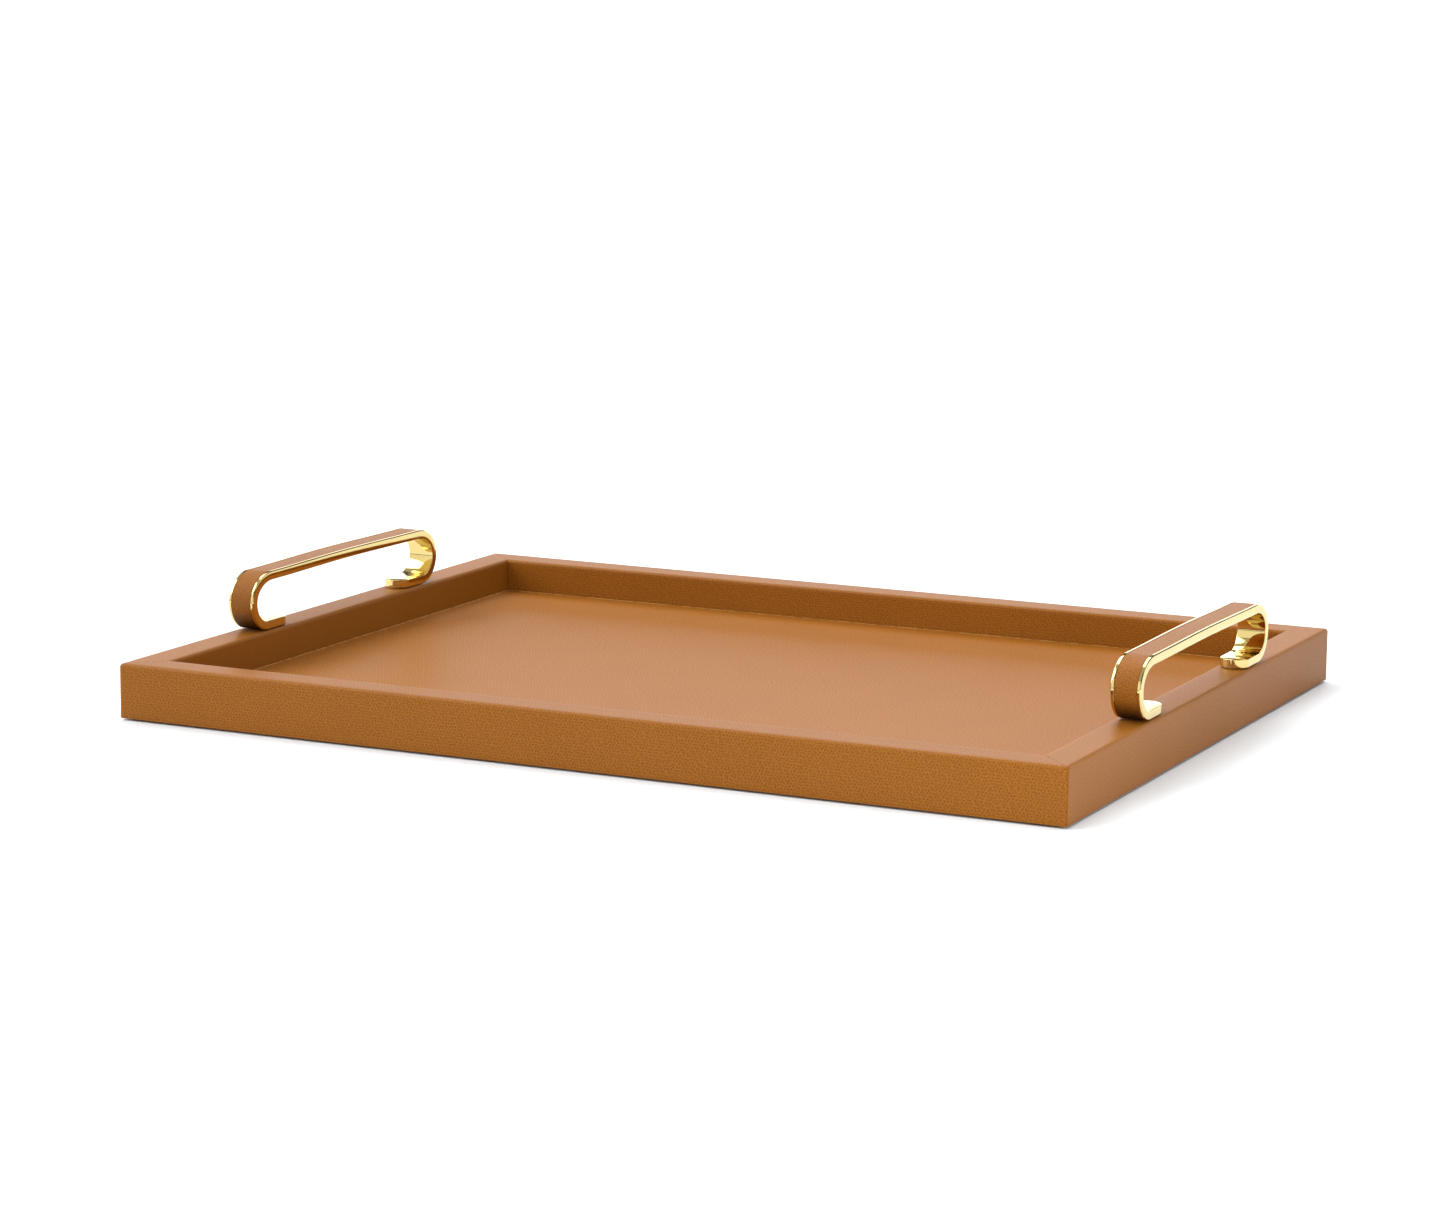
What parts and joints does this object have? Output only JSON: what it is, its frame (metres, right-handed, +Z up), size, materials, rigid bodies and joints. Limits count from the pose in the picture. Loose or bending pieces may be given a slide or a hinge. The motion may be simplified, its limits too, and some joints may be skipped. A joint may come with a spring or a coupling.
{
  "type": "serving tray",
  "caption": "Rectangular leather-covered serving tray with a raised mitred rim and a fixed brass bar handle with leather inlay on each short side.",
  "frame": {"origin": "middle of the underside, where the tray stands on a table", "axes": "+X along the long side, +Y along the short side towards the back, +Z up"},
  "size_m": [0.55, 0.422, 0.0656],
  "materials": {
    "cover_leather": "tan leather with a small pebble grain and a soft sheen",
    "floor_leather": "tan leather with a small pebble grain, lying flat",
    "handle_leather": "tan leather strip with a small pebble grain",
    "handle_brass": "mirror-polished brass",
    "rail_wood": "bare fibreboard, unseen",
    "board_wood": "bare fibreboard, unseen",
    "tongue_wood": "bare beech, unseen",
    "liner_suede": "dark brown suede-like cloth, matt",
    "screw_steel": "zinc-plated steel, unseen"
  },
  "bodies": {
    "root": {"front_rail": "rail_wood", "back_rail": "rail_wood", "left_rail": "rail_wood", "right_rail": "rail_wood", "front_left_mitre_tongue": "tongue_wood", "front_right_mitre_tongue": "tongue_wood", "back_left_mitre_tongue": "tongue_wood", "back_right_mitre_tongue": "tongue_wood", "base_panel": "board_wood", "floor_board": "board_wood", "floor_leather": "floor_leather", "front_leather": "cover_leather", "back_leather": "cover_leather", "left_leather": "cover_leather", "right_leather": "cover_leather", "underside_liner": "liner_suede", "left_handle_bar": "handle_brass", "right_handle_bar": "handle_brass", "left_handle_leather": "handle_leather", "right_handle_leather": "handle_leather", "front_left_handle_screw": "screw_steel", "back_left_handle_screw": "screw_steel", "front_right_handle_screw": "screw_steel", "back_right_handle_screw": "screw_steel", "front_left_handle_washer": "screw_steel", "back_left_handle_washer": "screw_steel", "front_right_handle_washer": "screw_steel", "back_right_handle_washer": "screw_steel"}
  },
  "joints": []
}
